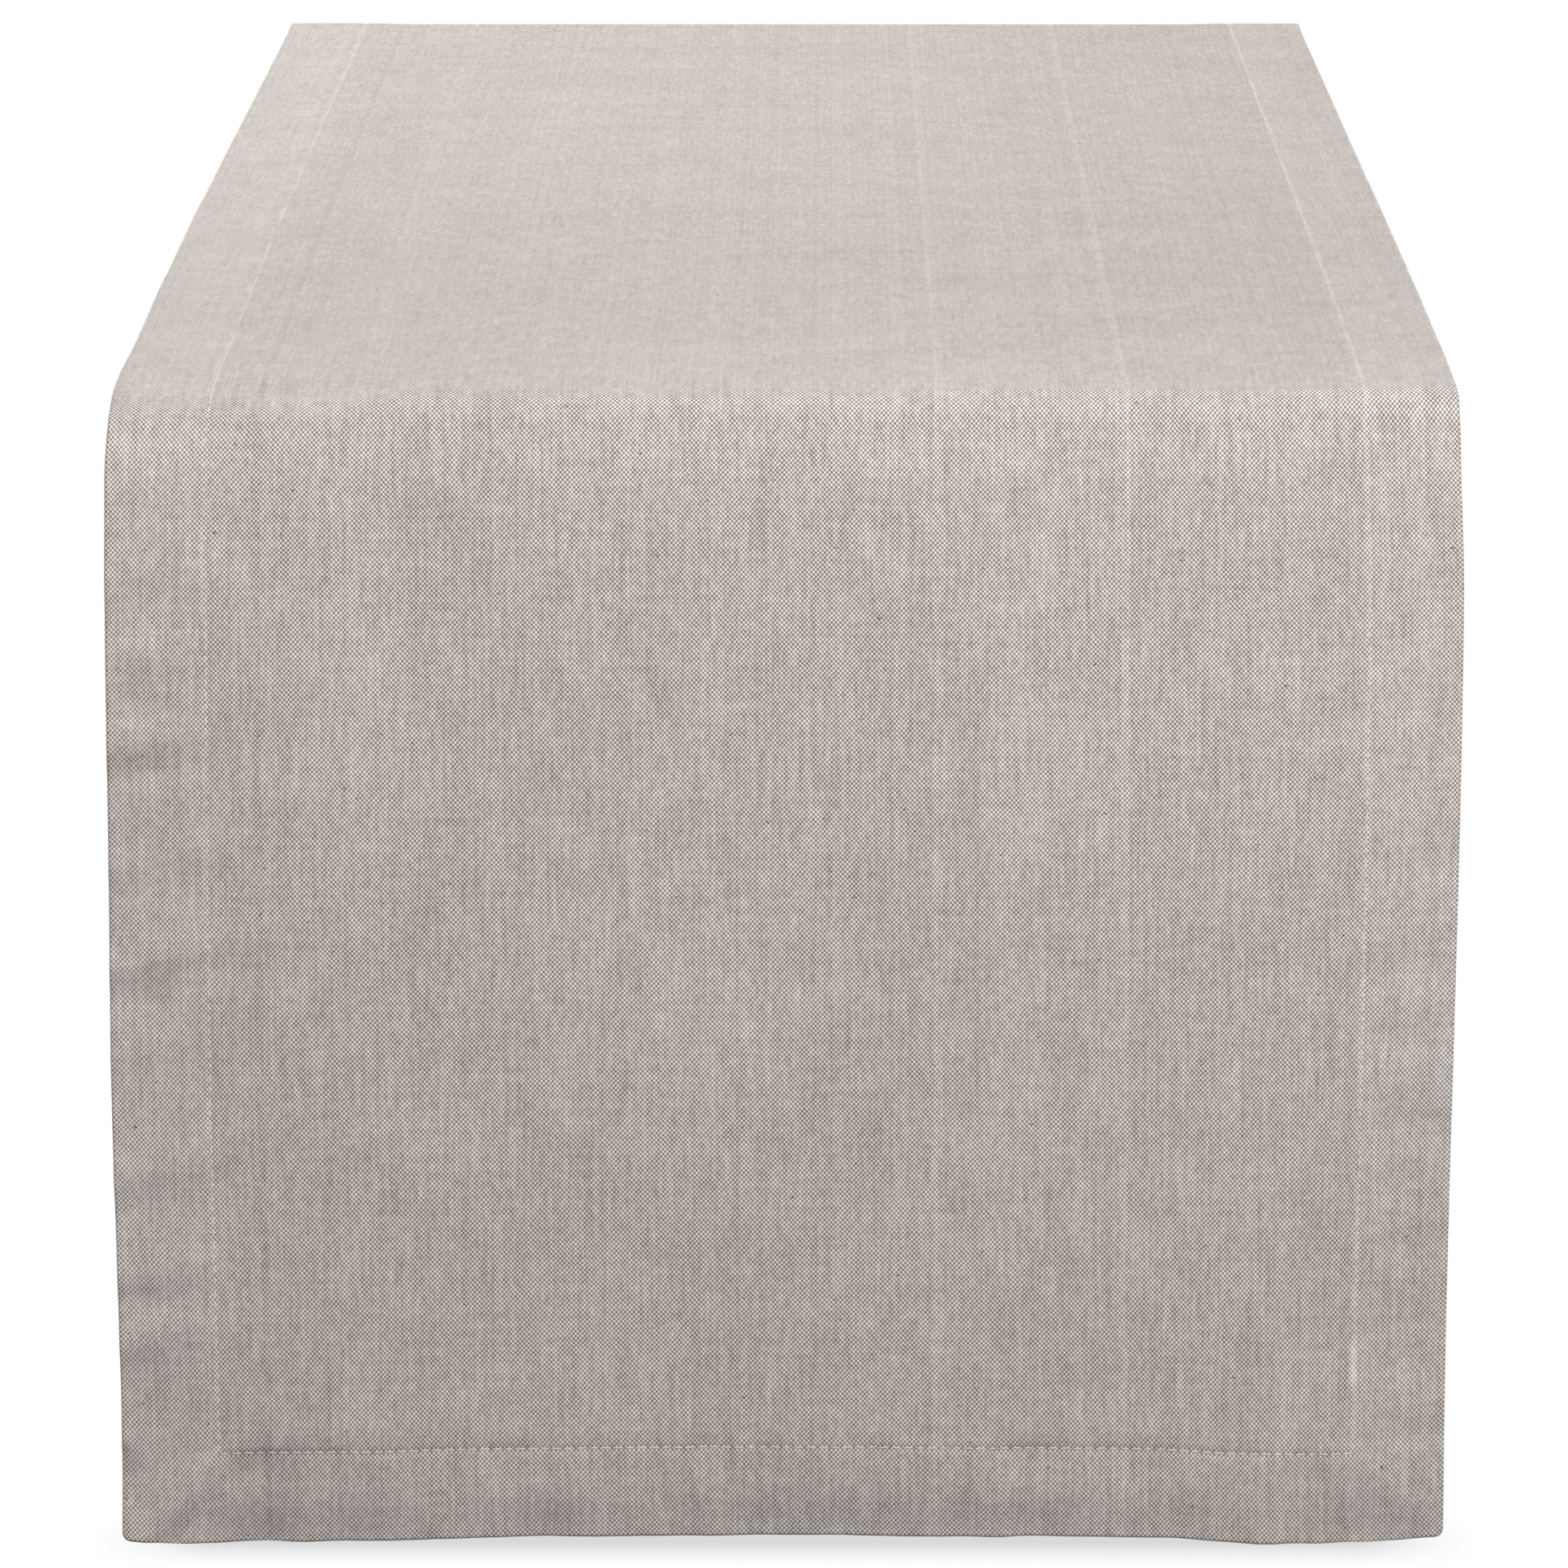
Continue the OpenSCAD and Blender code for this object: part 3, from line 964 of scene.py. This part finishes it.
def make_camera():
    """A long lens in front of the drop, a little above the table."""
    data = bpy.data.cameras.new("camera")
    data.lens = CAMERA_LENS
    data.sensor_width = 36
    data.clip_end = 100
    camera = bpy.data.objects.new("camera", data)
    camera.location = (CAMERA_ASIDE, -EDGE_Y - CAMERA_BACK, CAMERA_UP)
    camera.rotation_euler = (math.pi / 2 - CAMERA_PITCH, 0, CAMERA_YAW)
    bpy.context.scene.collection.objects.link(camera)
    bpy.context.scene.camera = camera


def softbox(name, place, target, size, power, colour=(1, 1, 1)):
    """A square area light aimed at a point."""
    data = bpy.data.lights.new(name, "AREA")
    data.size = size
    data.energy = power
    data.color = colour
    light = bpy.data.objects.new(name, data)
    light.location = place
    light.rotation_euler = (Vector(target) - Vector(place)).to_track_quat("-Z", "Y").to_euler()
    light.visible_camera = False
    bpy.context.scene.collection.objects.link(light)


def make_surround():
    """A dim, even surround that the camera sees as white."""
    world = bpy.data.worlds.new("surround")
    world.use_nodes = True
    nodes, links = world.node_tree.nodes, world.node_tree.links
    seen = nodes.new("ShaderNodeBackground")
    path = nodes.new("ShaderNodeLightPath")
    mix = nodes.new("ShaderNodeMixShader")
    dim = nodes["Background"]
    dim.inputs["Color"].default_value = (1, 1, 1, 1)
    dim.inputs["Strength"].default_value = 0.11
    seen.inputs["Color"].default_value = (1, 1, 1, 1)
    links.new(path.outputs["Is Camera Ray"], mix.inputs[0])
    links.new(dim.outputs[0], mix.inputs[1])
    links.new(seen.outputs[0], mix.inputs[2])
    links.new(mix.outputs[0], nodes["World Output"].inputs["Surface"])
    bpy.context.scene.world = world


def open_below(shader):
    """Lets a view from beneath the floor through to the runner's underside."""
    side = shader.tree.nodes.new("ShaderNodeNewGeometry")
    clear = shader.tree.nodes.new("ShaderNodeBsdfTransparent")
    mix = shader.tree.nodes.new("ShaderNodeMixShader")
    shader.put(side.outputs["Backfacing"], mix.inputs[0])
    shader.put(shader.surface.outputs[0], mix.inputs[1])
    shader.put(clear.outputs[0], mix.inputs[2])
    shader.put(mix.outputs[0], shader.tree.nodes["Material Output"].inputs["Surface"])


def make_floor():
    """A white floor just below the drops, with a painted shadow only where the cloth comes close to it."""
    size, z = 30.0, BOTTOM_Z - 1.0 * MM
    corners = [(-size, -size, z), (size, -size, z), (size, size, z), (-size, size, z)]
    mesh = bpy.data.meshes.new("floor")
    mesh.from_pydata(corners, [], [(0, 1, 2, 3)])
    floor = bpy.data.objects.new("floor", mesh)
    bpy.context.scene.collection.objects.link(floor)
    shader = Shader("white_floor_painted_shadow")
    shader.surface.inputs["Base Color"].default_value = (0, 0, 0, 1)
    shader.surface.inputs["Specular IOR Level"].default_value = 0
    shader.surface.inputs["Emission Strength"].default_value = 1.0
    coordinates = shader.tree.nodes.new("ShaderNodeTexCoord")
    split = shader.tree.nodes.new("ShaderNodeSeparateXYZ")
    shader.tree.links.new(coordinates.outputs["Object"], split.inputs[0])
    aside = shader.math("ABSOLUTE", split.outputs[0])
    # Painted shadow: a soft grey band under and in front of each drop, set in the floor's colour
    before = shader.math("SUBTRACT", shader.math("ABSOLUTE", split.outputs[1]), EDGE_Y - 12 * MM)
    close = shader.ramp(shader.math("ABSOLUTE", before), 4 * MM, 40 * MM, 1, 0)
    beneath = shader.ramp(aside, HALF_WIDTH - 25 * MM, HALF_WIDTH + 8 * MM, 1, 0)
    close = shader.math("MULTIPLY", close, beneath)
    # The painted shadow's grey, laid over the white where the band is
    colour = shader.mix(shader.math("POWER", close, 1.5), (1, 1, 1, 1), (0.69, 0.69, 0.70, 1))
    shader.put(colour, shader.surface.inputs["Emission Color"])
    open_below(shader)
    mesh.materials.append(shader.material)
    floor.visible_diffuse = False


def make_studio():
    """Soft lights in front, at both sides, above and behind, and a low one at each open side."""
    bpy.context.scene.view_settings.view_transform = "Standard"
    softbox("front_light", (0.11, -EDGE_Y - 0.7, 0.5), (0, -EDGE_Y, -0.1), 0.7, 8.4)
    softbox("left_light", (-1.1, -EDGE_Y - 0.4, 0.05), (-HALF_WIDTH, -EDGE_Y, -0.1), 0.5, 1.1)
    softbox("right_light", (0.9, -EDGE_Y - 1.3, 0.3), (0, -EDGE_Y, -0.1), 0.4, 7.5)
    softbox("top_light", (-0.16, 0.14, 0.9), (-0.16, 0.14, 0), 1.0, 8.1, (1, 0.995, 0.98))
    softbox("back_light", (-0.2, EDGE_Y + 0.9, 0.75), (0, EDGE_Y, -0.1), 0.8, 13)
    for name, side in (("left_under_light", -1), ("right_under_light", 1)):
        softbox(name, (side * (HALF_WIDTH + 0.72), 0, -0.15), (0, 0, -0.12), 0.28, 8.0)
    make_surround()
    make_floor()


# ---------------------------------------------------------------------------------------------------
# Assembly
# ---------------------------------------------------------------------------------------------------

make_camera()
make_studio()

runner = make_cloth()
runner.data.materials.append(weave_material("chambray_weave"))
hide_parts("ground_cloth", "left_hem", "right_hem", "front_hem", "back_hem")

thread = thread_material()
threads = make_stitching() + make_mitres()
for piece in threads:
    piece.data.materials.append(thread)

label = make_label()
label.data.materials.append(ribbon_material())

for piece in (runner, label, *threads):
    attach(piece, "root")
